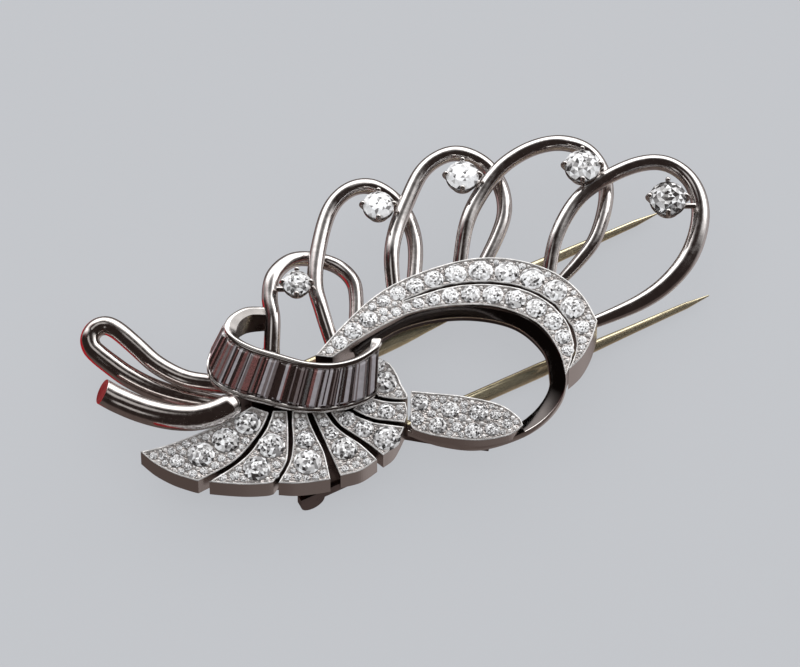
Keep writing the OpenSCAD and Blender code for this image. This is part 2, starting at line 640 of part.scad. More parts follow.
// ---- sub-parts ----
module wire_loop_1() {
  place()
    color([0.72, 0.7, 0.68])
      wire(loop_1, wire_r);
}

module wire_loop_2() {
  place()
    color([0.72, 0.7, 0.68])
      wire(loop_2, wire_r);
}

module wire_loop_3() {
  place()
    color([0.72, 0.7, 0.68])
      wire(loop_3, wire_r);
}

module wire_loop_4() {
  place()
    color([0.72, 0.7, 0.68])
      wire(loop_4, wire_r);
}

module wire_loop_5() {
  place()
    color([0.72, 0.7, 0.68])
      wire(loop_5, wire_r);
}

module claw_setting_1() {
  setting(0);
}

module claw_setting_2() {
  setting(1);
}

module claw_setting_3() {
  setting(2);
}

module claw_setting_4() {
  setting(3);
}

module claw_setting_5() {
  setting(4);
}

module solitaire_1() {
  brilliant(0);
}

module solitaire_2() {
  brilliant(1);
}

module solitaire_3() {
  brilliant(2);
}

module solitaire_4() {
  brilliant(3);
}

module solitaire_5() {
  brilliant(4);
}

module fan_petal_1() {
  petal(0);
}

module fan_petal_2() {
  petal(1);
}

module fan_petal_3() {
  petal(2);
}

module fan_petal_4() {
  petal(3);
}

module fan_petal_5() {
  petal(4);
}

module fan_petal_6() {
  petal(5);
}

module fan_petal_7() {
  petal(6);
}

module fan_stones_1() {
  petal_stones(0);
}

module fan_stones_2() {
  petal_stones(1);
}

module fan_stones_3() {
  petal_stones(2);
}

module fan_stones_4() {
  petal_stones(3);
}

module fan_stones_5() {
  petal_stones(4);
}

module fan_stones_6() {
  petal_stones(5);
}

module fan_stones_7() {
  petal_stones(6);
}

module hairpin_tail() {
  place()
    color([0.7, 0.66, 0.63])
      wire(hairpin_path, hairpin_r);
}

module cut_tube() {
  place()
    color([0.7, 0.66, 0.63])
      wire(cut_tube_path, cut_tube_r);
}

module prong_upper() {
  prong(prong_half);
}

module prong_lower() {
  prong(-prong_half);
}

wire_loop_1();
wire_loop_2();
wire_loop_3();
wire_loop_4();
wire_loop_5();
claw_setting_1();
claw_setting_2();
claw_setting_3();
claw_setting_4();
claw_setting_5();
solitaire_1();
solitaire_2();
solitaire_3();
solitaire_4();
solitaire_5();
outer_ribbon();
outer_ribbon_stones();
inner_ribbon();
inner_ribbon_stones();
ring_band();
leaf_plate();
leaf_stones();
tie_band();
tie_baguettes();
fan_petal_1();
fan_petal_2();
fan_petal_3();
fan_petal_4();
fan_petal_5();
fan_petal_6();
fan_petal_7();
fan_stones_1();
fan_stones_2();
fan_stones_3();
fan_stones_4();
fan_stones_5();
fan_stones_6();
fan_stones_7();
hairpin_tail();
cut_tube();
knot_core();
back_plate();
ring_strut();
hinge_box();
hinge_pin();
leaf_spring();
fork_bar();
prong_upper();
prong_lower();
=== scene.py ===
import bpy, bmesh, json, math, random
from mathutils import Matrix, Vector


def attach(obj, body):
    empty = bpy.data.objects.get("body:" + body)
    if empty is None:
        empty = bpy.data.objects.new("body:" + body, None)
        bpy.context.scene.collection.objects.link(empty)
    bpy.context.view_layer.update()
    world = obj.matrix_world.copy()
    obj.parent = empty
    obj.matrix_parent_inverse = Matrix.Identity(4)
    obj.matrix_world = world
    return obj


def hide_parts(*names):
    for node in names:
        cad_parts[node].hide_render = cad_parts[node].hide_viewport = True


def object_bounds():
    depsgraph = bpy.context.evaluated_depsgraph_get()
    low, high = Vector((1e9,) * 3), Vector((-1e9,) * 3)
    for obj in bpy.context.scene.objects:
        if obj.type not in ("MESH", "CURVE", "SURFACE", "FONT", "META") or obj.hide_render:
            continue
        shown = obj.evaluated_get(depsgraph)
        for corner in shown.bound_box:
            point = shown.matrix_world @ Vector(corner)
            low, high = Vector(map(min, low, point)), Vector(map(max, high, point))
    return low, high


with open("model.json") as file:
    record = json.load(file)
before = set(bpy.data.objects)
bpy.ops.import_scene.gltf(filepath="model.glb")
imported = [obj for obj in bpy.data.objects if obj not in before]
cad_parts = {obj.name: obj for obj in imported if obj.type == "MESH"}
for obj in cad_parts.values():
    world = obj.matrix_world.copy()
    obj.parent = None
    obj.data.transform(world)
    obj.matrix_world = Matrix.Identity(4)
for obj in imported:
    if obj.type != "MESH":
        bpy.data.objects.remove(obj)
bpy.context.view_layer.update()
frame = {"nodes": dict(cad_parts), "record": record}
nodes = frame["nodes"]
MM = 0.001
SHIFT = Vector((0.1, 2.05, 0.0))      # the layout's centre, as in the part, in mm
UP = Vector((0, 0, 1))
MERGE = 2e-6                          # corners this close, in metres, are one
dice = random.Random(7)


# ---------------------------------------------------------------- curves
def spline(points, n):
    """A smooth curve through the points, with n steps between each two."""
    pts = [Vector(p) for p in points]
    out = []
    for i in range(len(pts) - 1):
        a, b, c, d = pts[max(i - 1, 0)], pts[i], pts[i + 1], pts[min(i + 2, len(pts) - 1)]
        for j in range(n):
            t = j / n
            out.append(0.5 * (2 * b + (c - a) * t + (2 * a - 5 * b + 4 * c - d) * t * t
                              + (3 * b - a - 3 * c + d) * t ** 3))
    out.append(pts[-1])
    return out


def heading(p, i):
    """The direction of a curve at its point i."""
    return (p[min(i + 1, len(p) - 1)].xyz - p[max(i - 1, 0)].xyz).normalized()


def level(a):
    """The level unit vector at an angle in radians."""
    return Vector((math.cos(a), math.sin(a), 0))


# ---------------------------------------------------------------- meshes
def new_mesh(name, verts, faces, mat, smooth=None, kinds=None):
    """A mesh in layout millimetres. mat is one material, or a list that kinds, a material index
    for each face, picks from; smooth is the angle in degrees below which edges are smoothed."""
    me = bpy.data.meshes.new(name)
    me.from_pydata([(v + SHIFT) * MM for v in verts], [], faces)
    for m in mat if isinstance(mat, (list, tuple)) else [mat]:
        me.materials.append(m)
    if kinds:
        me.polygons.foreach_set("material_index", kinds)
    me.validate()
    bm = bmesh.new()
    bm.from_mesh(me)
    bmesh.ops.recalc_face_normals(bm, faces=bm.faces)
    bm.to_mesh(me)
    bm.free()
    if smooth:
        for p in me.polygons:
            p.use_smooth = True
        me.set_sharp_from_angle(angle=math.radians(smooth))
    ob = bpy.data.objects.new(name, me)
    bpy.context.scene.collection.objects.link(ob)
    return ob


def skin(rings, closed=False):
    """Faces between rings of as many corners, with two end caps unless the rings close up."""
    m, n = len(rings[0]), len(rings)
    verts = [Vector(q) for r in rings for q in r]
    faces = []
    for i in range(n if closed else n - 1):
        a, b = i * m, ((i + 1) % n) * m
        for j in range(m):
            k = (j + 1) % m
            faces.append((a + j, b + j, b + k, a + k))
    if not closed:
        faces.append(tuple(range(m)))
        faces.append(tuple((n - 1) * m + j for j in reversed(range(m))))
    return verts, faces


def gather(parts):
    """Several (verts, faces) as one."""
    verts, faces = [], []
    for v, f in parts:
        o = len(verts)
        verts += v
        faces += [tuple(i + o for i in q) for q in f]
    return verts, faces


def side_kinds(faces, pattern):
    """A material index for each face of a skin: the pattern's for the sides, 0 for the caps."""
    return [pattern(i) for i in range(len(faces) - 2)] + [0, 0]


ROUNDING = (80, 50, 25, 0)            # degrees round the softened edge of a wire's end


def tube(path, r, n=8, sides=28, ease=0.12, side=None, far_ease=None):
    """Round wire along a spline of (x, y, z, share of r). ease is how far its ends are softened,
    far_ease the same for the far end; side is the normal of a path that lies in a plane."""
    p = spline(path, n)

    def ring(i, at, shrink):
        h = heading(p, i)
        s = side or UP.cross(h).normalized()
        u = h.cross(s)
        rr = r * p[i].w - shrink
        turns = [2 * math.pi * j / sides for j in range(sides)]
        return [at + s * (rr * math.cos(a)) + u * (rr * math.sin(a)) for a in turns]

    def end(i, e, sign):
        out = []
        for deg in ROUNDING:
            a = math.radians(deg)
            at = p[i].xyz + heading(p, i) * (sign * e * (1 - math.sin(a)))
            out.append(ring(i, at, e * (1 - math.cos(a))))
        return out

    last = len(p) - 1
    far = far_ease or ease
    # rings that the far end's rounding takes the place of
    skip = 1 + sum((p[last - k].xyz - p[last].xyz).length < far for k in range(1, 6))
    body = [ring(i, p[i].xyz, 0) for i in range(1, last - skip + 1)]
    return skin(end(0, ease, 1) + body + end(last, far, -1)[::-1])


DEPTH, CROWN = 0.84, 0.30             # a pave stone below and above its girdle, against its radius
SPIN = 37                             # degrees that each stone is turned against the one before


def brilliant(c, r, crown=CROWN, spin=0.0):
    """Round brilliant: five rings of small crown facets, a girdle and pavilion mains."""
    def ring(n, turn, rad, z, shake=0.0):
        out = []
        for k in range(n):
            a = math.radians(360 * k / n + turn + spin + dice.uniform(-60, 60) * shake)
            out.append(Vector((c[0] + rad * r * math.cos(a), c[1] + rad * r * math.sin(a),
                               c[2] + (z + dice.uniform(-shake, shake)) * r)))
        return out

    # each ring's corners, turn, radius, height and unevenness, from the table to the culet
    rings = [ring(1, 0, 0, crown + 0.02), ring(8, 22.5, 0.22, crown + 0.02, 0.035),
             ring(8, 0, 0.42, crown + 0.01, 0.035), ring(16, 0, 0.62, crown - 0.01, 0.03),
             ring(16, 11.25, 0.83, crown * 0.5, 0.03), ring(16, 0, 1.0, 0.025),
             ring(16, 0, 1.0, -0.025), ring(8, 22.5, 0.26, -DEPTH * 0.8), ring(1, 0, 0, -DEPTH)]
    # the first corner of each ring
    top, star, table, step, main, girdle, belt, low, culet = (
        sum(len(q) for q in rings[:i]) for i in range(len(rings)))
    f = []
    for k in range(8):
        k1, kb = (k + 1) % 8, (k - 1) % 8
        j0, j1, j2 = 2 * k, 2 * k + 1, (2 * k + 2) % 16
        f += [(top, star + kb, star + k), (star + kb, table + k, star + k),
              (star + k, table + k, table + k1), (table + k, step + j0, step + j1),
              (table + k, step + j1, table + k1), (table + k1, step + j1, step + j2)]
        for a, b in ((j0, j1), (j1, j2)):
            f += [(step + a, main + a, step + b), (step + b, main + a, main + b),
                  (main + a, girdle + a, girdle + b), (main + a, girdle + b, main + b)]
        f += [(low + k, belt + j1, belt + j0), (low + k, belt + j2, belt + j1),
              (culet, low + kb, belt + j0), (culet, belt + j0, low + k),
              (girdle + j0, belt + j0, belt + j1, girdle + j1),
              (girdle + j1, belt + j1, belt + j2, girdle + j2)]
    return [q for ring in rings for q in ring], f


# facets of each eighth of a stone: the middle of the table, all that face up, and all
CORE_FACETS, CROWN_FACETS, ALL_FACETS = 3, 14, 20


def facet_kinds(count, weights, core=None):
    """A material index for each facet of so many stones: clear below the girdle, above it a mix of
    clear facets and facets painted as flashes and as grey and dark reflections.
    """
    kinds = []
    for _ in range(count * 8):
        kinds += dice.choices(range(len(weights)), core or weights, k=CORE_FACETS)
        kinds += dice.choices(range(len(weights)), weights, k=CROWN_FACETS - CORE_FACETS)
        kinds += [0] * (ALL_FACETS - CROWN_FACETS)
    return kinds


def bead(c, r, squash=0.75, rings=5, sides=10):
    """A ball about the point c, pressed flat by squash."""
    v, f = [], []
    for i in range(1, rings):
        a = math.pi * i / rings
        for j in range(sides):
            b = 2 * math.pi * j / sides
            v.append(Vector((c[0] + r * math.sin(a) * math.cos(b),
                             c[1] + r * math.sin(a) * math.sin(b),
                             c[2] + r * squash * math.cos(a))))
    top, bot = len(v), len(v) + 1
    v += [Vector((c[0], c[1], c[2] + r * squash)), Vector((c[0], c[1], c[2] - r * squash))]
    for i in range(rings - 2):
        for j in range(sides):
            k = (j + 1) % sides
            f.append((i * sides + j, (i + 1) * sides + j, (i + 1) * sides + k, i * sides + k))
    for j in range(sides):
        k = (j + 1) % sides
        f.append((top, j, k))
        f.append((bot, (rings - 2) * sides + k, (rings - 2) * sides + j))
    return v, f


# ---------------------------------------------------------------- materials
def put(nt, socket, value):
    """Set a socket to a value, or link it to another node's output."""
    if isinstance(value, bpy.types.NodeSocket):
        nt.links.new(value, socket)
    else:
        socket.default_value = value


def make(nt, kind, inputs, **settings):
    """A new shader node."""
    n = nt.nodes.new("ShaderNode" + kind)
    for key, value in settings.items():
        setattr(n, key, value)
    for key, value in inputs.items():
        put(nt, n.inputs[key], value)
    return n


def principled(name):
    """A new material, its node tree and its shader."""
    m = bpy.data.materials.new(name)
    m.use_nodes = True
    return m, m.node_tree, m.node_tree.nodes["Principled BSDF"]


# a noise mostly lies between these, and what it drives is stretched over them
ROUGH_RANGE, TONE_RANGE = (0.3, 0.7), (0.35, 0.65)


def texture(nt, kind, scale, **inputs):
    """A texture fixed to the object."""
    at = make(nt, "TexCoord", {}).outputs["Object"]
    return make(nt, kind, {"Vector": at, "Scale": scale, **inputs})


def remap(nt, value, low, high, to=(0.0, 1.0), **settings):
    """A value that runs from low to high, made to run between two other limits."""
    inputs = {"Value": value, "From Min": low, "From Max": high, "To Min": to[0], "To Max": to[1]}
    return make(nt, "MapRange", inputs, **settings).outputs["Result"]


def scaled(nt, color, factor):
    """A colour times a number from another node."""
    return make(nt, "VectorMath", {0: color, "Scale": factor}, operation="SCALE").outputs["Vector"]


def product(nt, a, b):
    """Two nodes' numbers multiplied."""
    return make(nt, "Math", {0: a, 1: b}, operation="MULTIPLY").outputs["Value"]


def bump(nt, height, strength, distance):
    """A normal from a height; distance is in metres."""
    inputs = {"Strength": strength, "Distance": distance, "Height": height}
    return make(nt, "Bump", inputs).outputs["Normal"]


def shade(nt, color, noise, darkest):
    """The colour times a factor that a noise drives, from darkest to 1."""
    return scaled(nt, color, remap(nt, noise, *TONE_RANGE, (darkest, 1.0)))


SCRATCH_DEPTH, GRAVER_DEPTH = 0.00002, 0.00022      # metres


def metal(name, color, rough, spread=0.0, scale=900.0, scratch=0.0, tone=1.0, metallic=1.0):
    """Polished metal whose roughness (by spread), relief (by scratch) and colour (down to tone)
    vary with a noise."""
    m, nt, b = principled(name)
    b.inputs["Base Color"].default_value = (*color, 1)
    b.inputs["Metallic"].default_value = metallic
    b.inputs["Roughness"].default_value = rough
    if spread:
        noise = texture(nt, "TexNoise", scale, Detail=4.0).outputs["Fac"]
        limits = (max(rough - spread, 0.01), rough + spread)
        put(nt, b.inputs["Roughness"], remap(nt, noise, *ROUGH_RANGE, limits))
        if tone < 1:
            put(nt, b.inputs["Base Color"], shade(nt, color, noise, tone))
        if scratch:
            put(nt, b.inputs["Normal"], bump(nt, noise, scratch, SCRATCH_DEPTH))
    return m


def pave_metal(name, color, rough):
    """Smooth walls, and a top face worked with a graver between the stones."""
    m = metal(name, color, rough)
    nt = m.node_tree
    b = nt.nodes["Principled BSDF"]
    normal = make(nt, "NewGeometry", {}).outputs["True Normal"]
    upward = make(nt, "SeparateXYZ", {"Vector": normal}).outputs["Z"]
    worked = remap(nt, upward, 0.7, 0.95)
    cells = texture(nt, "TexVoronoi", 3600).outputs["Distance"]
    put(nt, b.inputs["Metallic"], remap(nt, worked, 0.0, 1.0, (1.0, 0.85)))
    put(nt, b.inputs["Normal"], bump(nt, product(nt, cells, worked), 1.0, GRAVER_DEPTH))
    return m


def gem(name, color, clear, rough=0.02):
    """A facet of a stone: clear is how much light it lets through."""
    m, nt, b = principled(name)
    b.inputs["Roughness"].default_value = rough
    b.inputs["IOR"].default_value = 2.417
    b.inputs["Transmission Weight"].default_value = clear
    noise = texture(nt, "TexNoise", 2600).outputs["Fac"]
    put(nt, b.inputs["Base Color"], shade(nt, color, noise, 0.86))
    return m


# name, colour, roughness, its spread, the noise's scale, scratches, darkest tone
loop_metal = metal("loop_metal", (0.86, 0.83, 0.82), 0.15, 0.06, 1400, 0.35, 0.88)
tail_metal = metal("tail_metal", (0.80, 0.755, 0.735), 0.16, 0.06, 1400, 0.4, 0.85)
# the plates' metal, darker than the other metal: painted shade between the stones
plate_painted_shade = pave_metal("plate_painted_shade", (0.66, 0.62, 0.60), 0.26)
# the rims' and grains' metal, whiter and half diffuse: a painted highlight so that they read bright
rim_painted_highlight = metal("rim_painted_highlight", (0.93, 0.91, 0.895), 0.24, 0.08, 1100, 0.3, 0.6, metallic=0.45)
# the ring's face and walls: near-black colour paints the dark reflection and shade of the polished
# band
ring_painted_dark = metal("ring_painted_dark", (0.09, 0.08, 0.077), 0.10, 0.04, 1200, 0.2)
ring_wall_painted_dark = metal("ring_wall_painted_dark", (0.10, 0.08, 0.075), 0.16, 0.04, 1200)
tie_metal = metal("tie_metal", (0.84, 0.81, 0.79), 0.18, 0.05, 900, 0.15, 0.85)
# a darker copy of the tie metal: painted shade on the band's inside and on the top edge in the curl
tie_painted_shade = metal("tie_painted_shade", (0.36, 0.345, 0.335), 0.28, 0.10, 700, 0.4, 0.6)
claw_metal = metal("claw_metal", (0.84, 0.81, 0.79), 0.14, 0.04, 1200, 0.1, 0.85)
# the slanted cut face of the free tube end: dark red paints the red reflection and shade seen there
cut_face_painted_red = metal("tube_end_painted_red", (0.34, 0.05, 0.05), 0.50, 0.10, 900, 0.2, 0.6, metallic=0.4)
gold = metal("gold", (0.98, 0.88, 0.61), 0.17, 0.05, 900, 0.15, 0.85, metallic=0.88)
# the parts behind and under the ornament: dark brown paints the shade they lie in
back_metal = metal("back_metal", (0.20, 0.15, 0.14), 0.30, 0.06, 900, 0.1, 0.7)
clear_stone = gem("stone_clear", (1, 1, 1), 0.95, 0.0)
# facet colours that paint the sparkle: clear, then a white painted flash, lighter and grey painted
# reflections and a near-black painted dark reflection
PAINTED_SPARKLE_GEMS = [clear_stone,
        gem("stone_painted_flash", (0.99, 0.99, 1.0), 0.0),
        gem("stone_painted_bright", (0.70, 0.69, 0.69), 0.1),
        gem("stone_painted_grey", (0.34, 0.33, 0.33), 0.2),
        gem("stone_painted_dark", (0.05, 0.045, 0.045), 0.2)]
# baguette facets whose colours paint reflections: clear, then painted white, grey, red and
# near-black reflections
BAGUETTE_PAINTED_FACETS = [gem("baguette_clear", (0.9, 0.86, 0.86), 0.9, 0.0),
                 gem("baguette_painted_white", (0.40, 0.375, 0.395), 0.15),
                 gem("baguette_painted_grey", (0.19, 0.155, 0.155), 0.2),
                 gem("baguette_painted_red", (0.20, 0.085, 0.08), 0.2),
                 gem("baguette_painted_dark", (0.03, 0.018, 0.016), 0.2)]

SLOT_METAL = {"loop_wire": loop_metal, "setting": claw_metal, "pave_plate": plate_painted_shade,
              "polished_band": ring_painted_dark, "tie_metal": tie_metal, "tail_wire": tail_metal,
              "prong_gold": gold, "back_metal": back_metal, "brilliant": clear_stone,
              "pave_stone": clear_stone, "baguette": BAGUETTE_PAINTED_FACETS[0]}
slot_of = {s["node"]: s["material_slot"] for s in frame["record"]["subparts"]}
for name, ob in nodes.items():
    ob.data.materials.clear()
    ob.data.materials.append(SLOT_METAL[slot_of[name]])


def add(ob, slot, *stand_for):
    """Put a piece on the ornament, standing for the CAD nodes named."""
    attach(ob, "ornament")
    if stand_for:
        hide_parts(*stand_for)
    return ob


# ---------------------------------------------------------------- loops and tails
# centre lines as (x, y, z, share of the wire's radius), in layout millimetres
WIRE_R = 0.8
HIGH, LOW = 7.0, 5.2                  # a loop's left leg lies over its neighbour's right leg
LOOPS = {
    1: [(-12.5, -7.2, 6.2, 1), (-12.4, -3.8, HIGH, 1), (-12.7, -1.1, HIGH, 1),
        (-12.3, 1.4, 6.9, 1), (-10.7, 3.5, 6.2, 0.95), (-8.6, 4.2, 5.4, 0.95),
        (-6.1, 3.5, LOW, 0.95), (-4.5, 1.8, LOW, 0.95), (-4.1, -0.4, LOW, 0.9),
        (-4.2, -3.4, LOW, 0.85)],
    2: [(-6.3, -6.6, 6.2, 0.9), (-7.5, -2.7, HIGH, 0.95), (-8.2, 0.6, HIGH, 1),
        (-7.8, 4.9, HIGH, 1), (-6.7, 9.1, HIGH, 1), (-4.8, 11.3, HIGH, 1), (-2.5, 12.0, 6.4, 1),
        (-0.2, 10.9, 5.4, 1), (1.2, 8.5, LOW, 1), (1.8, 5.3, LOW, 0.95), (1.5, 0.2, LOW, 0.9)],
    3: [(-0.3, -0.6, 6.2, 0.9), (-0.6, 3.2, HIGH, 0.95), (-0.2, 6.4, HIGH, 1),
        (0.8, 9.5, HIGH, 1), (2.4, 13.3, HIGH, 1), (4.5, 15.2, HIGH, 1), (6.6, 15.7, 6.6, 1),
        (8.8, 15.0, 5.6, 1), (10.3, 12.8, LOW, 1), (10.7, 9.9, LOW, 0.95), (9.9, 6.8, LOW, 0.9),
        (7.9, 2.2, LOW, 0.85)],
    4: [(6.1, 2.0, 6.2, 0.9), (6.8, 6.9, HIGH, 0.95), (8.1, 10.4, HIGH, 1), (10.3, 13.8, HIGH, 1),
        (13.2, 16.0, HIGH, 1), (16.2, 16.9, 6.8, 1), (18.8, 16.7, 5.8, 1), (20.4, 14.8, LOW, 1),
        (20.9, 11.5, LOW, 0.95), (19.9, 7.1, LOW, 0.9), (18.1, 4.1, LOW, 0.8),
        (15.2, 0.6, LOW, 0.6)],
    5: [(14.9, 0.9, 6.2, 0.9), (15.8, 5.7, HIGH, 0.9), (17.8, 9.9, HIGH, 0.95),
        (20.6, 12.5, HIGH, 0.95), (24.2, 14.3, HIGH, 1), (27.1, 14.4, 6.8, 1),
        (29.4, 12.6, 6.4, 1.05), (30.3, 9.4, 6.0, 1.15), (29.5, 5.4, 5.6, 1.2),
        (27.4, 2.0, 5.4, 1.15), (24.1, -0.7, LOW, 1), (18.6, -3.4, LOW, 0.7)],
}
for k, path in LOOPS.items():
    add(new_mesh(f"loop_wire_{k}", *tube(path, WIRE_R), loop_metal, smooth=40), "loop_wire",
        f"wire_loop_{k}")

HAIRPIN_R, CUT_TUBE_R = 0.95, 1.3
HAIRPIN = [(-15.8, -10.5, 5.8, 0.96), (-18.6, -10.3, 5.8, 1), (-21.2, -9.75, 5.8, 1),
           (-23.8, -8.2, 5.8, 1), (-25.8, -6.2, 5.8, 1), (-27.2, -4.8, 5.8, 1),
           (-28.1, -4.0, 5.7, 1), (-28.9, -3.6, 5.6, 1), (-29.7, -3.7, 5.5, 1),
           (-30.3, -4.2, 5.3, 1), (-30.55, -5.0, 5.2, 1.02), (-30.3, -5.8, 5.0, 1.05),
           (-29.6, -6.55, 4.9, 1.08), (-28.5, -7.45, 4.75, 1.1), (-26.8, -8.75, 4.6, 1.12),
           (-24.6, -9.95, 4.4, 1.12), (-22.2, -10.75, 4.1, 1.12), (-19.2, -11.4, 3.9, 1.1),
           (-16.4, -12.1, 4.2, 0.96)]
CUT_TUBE = [(-29.4, -11.4, 6.4, 1), (-27.8, -12.4, 6.4, 1), (-25.8, -13.4, 6.4, 1),
            (-23.8, -14.1, 6.4, 1), (-21.8, -14.5, 6.4, 1), (-19.8, -14.5, 6.4, 1),
            (-17.8, -13.9, 6.4, 1), (-15.6, -12.6, 6.4, 0.95)]
add(new_mesh("hairpin_wire", *tube(HAIRPIN, HAIRPIN_R, sides=32), tail_metal, smooth=40),
    "tail_wire", "hairpin_tail")

# the free end is cut on a slant, its top shorter and its far side longer
CUT_LENGTH = 3.0                      # how far from the end the slant is spread
CUT_BY_HEIGHT, CUT_BY_SIDE, CUT_MIDDLE = 0.5, 0.35, 0.5
v, f = tube(CUT_TUBE, CUT_TUBE_R, sides=40, ease=0.1, far_ease=1.1)
start = Vector(CUT_TUBE[0][:3])
along = heading(spline(CUT_TUBE, 8), 0)
for q in v:
    off = q - start
    aslant = CUT_BY_HEIGHT * (off.z + CUT_MIDDLE) - CUT_BY_SIDE * off.dot(UP.cross(along))
    q += along * (aslant * max(0.0, 1 - off.dot(along) / CUT_LENGTH))
# the slanted cut face takes the painted red reflection
add(new_mesh("cut_end_tube", v, f, [tail_metal, cut_face_painted_red], smooth=40,
             kinds=[0] * (len(f) - 2) + [1, 0]), "tail_wire", "cut_tube")


# ---------------------------------------------------------------- stones read from the part's seats
def islands(ob):
    """Centre and girdle radius (mm, layout frame) of each stone of a stone node."""
    bm = bmesh.new()
    bm.from_mesh(ob.data)
    bmesh.ops.remove_doubles(bm, verts=bm.verts, dist=MERGE)
    seen, out = set(), []
    for v in bm.verts:
        if v in seen:
            continue
        stack, group = [v], []
        seen.add(v)
        while stack:
            w = stack.pop()
            group.append(w.co.copy())
            for e in w.link_edges:
                o = e.other_vert(w)
                if o not in seen:
                    seen.add(o)
                    stack.append(o)
        xs = [g.x for g in group]
        ys = [g.y for g in group]
        cx, cy = (min(xs) + max(xs)) / 2, (min(ys) + max(ys)) / 2
        r = (max(xs) - min(xs) + max(ys) - min(ys)) / 4
        girdle = max(group, key=lambda g: (g.x - cx) ** 2 + (g.y - cy) ** 2)
        out.append((Vector((cx, cy, girdle.z)) / MM - SHIFT, r / MM))
    bm.free()
    return out


PLATE_OF = {"outer_ribbon_stones": "outer_ribbon", "inner_ribbon_stones": "inner_ribbon",
            "leaf_stones": "leaf_plate",
            **{f"fan_stones_{i}": f"fan_petal_{i}" for i in range(1, 8)}}
# how many facets of each plate's stones are clear, painted flash, painted bright, painted grey and
# painted dark reflection
RIBBON_MIX = (1.2, 4.6, 5.0, 3.0, 0.5)
PAVE_MIX = (2.0, 2.4, 4.4, 3.8, 1.2)
LEAF_MIX = (2.2, 1.7, 3.4, 4.6, 1.4)
MIX_OF = {"outer_ribbon": RIBBON_MIX, "inner_ribbon": RIBBON_MIX, "leaf_plate": LEAF_MIX}
SEAT_FIT = 0.985                      # a stone against its seat
all_stones = {}
for node, plate in PLATE_OF.items():
    stones = islands(nodes[node])
    all_stones[node] = stones
    v, f = gather([brilliant(c, r * SEAT_FIT, spin=SPIN * i) for i, (c, r) in enumerate(stones)])
    kinds = facet_kinds(len(stones), MIX_OF.get(plate, PAVE_MIX))
    add(new_mesh("cut_" + node, v, f, PAINTED_SPARKLE_GEMS, kinds=kinds), "pave_stone", node)


def hoop(c, big, z, small, n=40, sides=12):
    """A ring of round wire lying flat about the point c."""
    rings = []
    for i in range(n):
        out = level(2 * math.pi * i / n)
        turns = [2 * math.pi * j / sides for j in range(sides)]
        rings.append([Vector((c.x, c.y, z)) + out * (big + small * math.cos(a))
                      + UP * (small * math.sin(a)) for a in turns])
    return skin(rings, closed=True)


CLAW_R, PEG_R = 0.2, 0.28
# a claw from its foot to over the girdle: reach and rise against the stone's radius, thickness
CLAW = [(0.52, 0.04, 0.8), (0.70, 0.32, 0.85), (0.90, 0.66, 0.95), (1.02, 0.93, 1.1),
        (0.99, 1.10, 1.2), (0.89, 1.19, 1.1)]
FOOT = 0.95                           # the setting's depth under the girdle, in the same way


def setting(c, r, peg):
    """Four claws rising from a gallery and closing over the girdle, and the peg to the wire."""
    bottom = c.z - FOOT * r
    foot = Vector((c.x, c.y, bottom))
    # the gallery: a small ring at the foot and a larger one under the girdle
    parts = [hoop(c, 0.6 * r, bottom + 0.16, 0.15), hoop(c, 0.86 * r, c.z - 0.3 * r, 0.13)]
    for deg in (0, 90, 180, 270):
        out = level(math.radians(deg))
        path = [(*(foot + out * (reach * r) + UP * (rise * r)), w) for reach, rise, w in CLAW]
        parts.append(tube(path, CLAW_R, n=5, sides=14, ease=0.09, side=UP.cross(out)))
        tip = Vector(path[-1][:3])
        parts.append(bead(tip + out * 0.06, CLAW_R * 1.3, squash=0.9, rings=7, sides=14))
    # the peg, from inside the foot to 1 mm past 0.92 of the stone's radius
    out = level(math.radians(peg))
    start = Vector((c.x, c.y, bottom + 0.15 * r))
    path = [(*(start + out * (0.5 * r + t * (0.42 * r + 1))), 1) for t in (0, 0.5, 1)]
    parts.append(tube(path, PEG_R, n=4, sides=16, ease=0.08))
    return gather(parts)


# each solitaire's facets in the same way, and where its peg points, in degrees
SOLITAIRES = {1: ((2, 5, 4, 3, 1), 180), 2: ((1, 12, 2, 1.5, 0.8), 16),
              3: ((1, 12, 2, 1.2, 0.8), 0), 4: ((2, 5, 4, 3, 1.2), -20),
              5: ((2, 3.4, 3, 4, 4.5), 0)}
# mostly painted dark reflection in the middle of the fifth one's table
PAINTED_DARK_CORE = {5: (1, 0.3, 0.6, 2, 10)}  # the middle of the fifth one's table
SOLITAIRE_CROWN = 0.36
CAD_STONE = 0.94                      # the part's solitaire against its setting
for k, (mix, peg) in SOLITAIRES.items():
    (c, r), = islands(nodes[f"solitaire_{k}"])
    v, f = brilliant(c, r, SOLITAIRE_CROWN, spin=22.5 * k)
    kinds = facet_kinds(1, mix, PAINTED_DARK_CORE.get(k))
    add(new_mesh(f"cut_solitaire_{k}", v, f, PAINTED_SPARKLE_GEMS, kinds=kinds), "brilliant", f"solitaire_{k}")
    add(new_mesh(f"setting_{k}", *setting(c, r / CAD_STONE, peg), claw_metal, smooth=40),
        "setting", f"claw_setting_{k}")


# ---------------------------------------------------------------- rims and grains on the plates
def top_loops(ob):
    """Boundary loops of a plate's upper face, in mm, layout frame."""
    bm = bmesh.new()
    bm.from_mesh(ob.data)
    bmesh.ops.remove_doubles(bm, verts=bm.verts, dist=MERGE)
    bm.normal_update()
    top = max(v.co.z for v in bm.verts)
    faces = {f for f in bm.faces
             if abs(f.normal.z) > 0.99 and abs(f.calc_center_median().z - top) < MERGE}
    nxt = {}
    for f in faces:
        for lp in f.loops:
            if sum(g in faces for g in lp.edge.link_faces) == 1:
                nxt.setdefault(lp.vert, lp.link_loop_next.vert)
    loops, used = [], set()
    for s in nxt:
        if s in used:
            continue
        loop, v = [], s
        while v in nxt and v not in used:
            used.add(v)
            loop.append(v.co / MM - SHIFT)
            v = nxt[v]
        loops.append(loop)
    bm.free()
    return loops


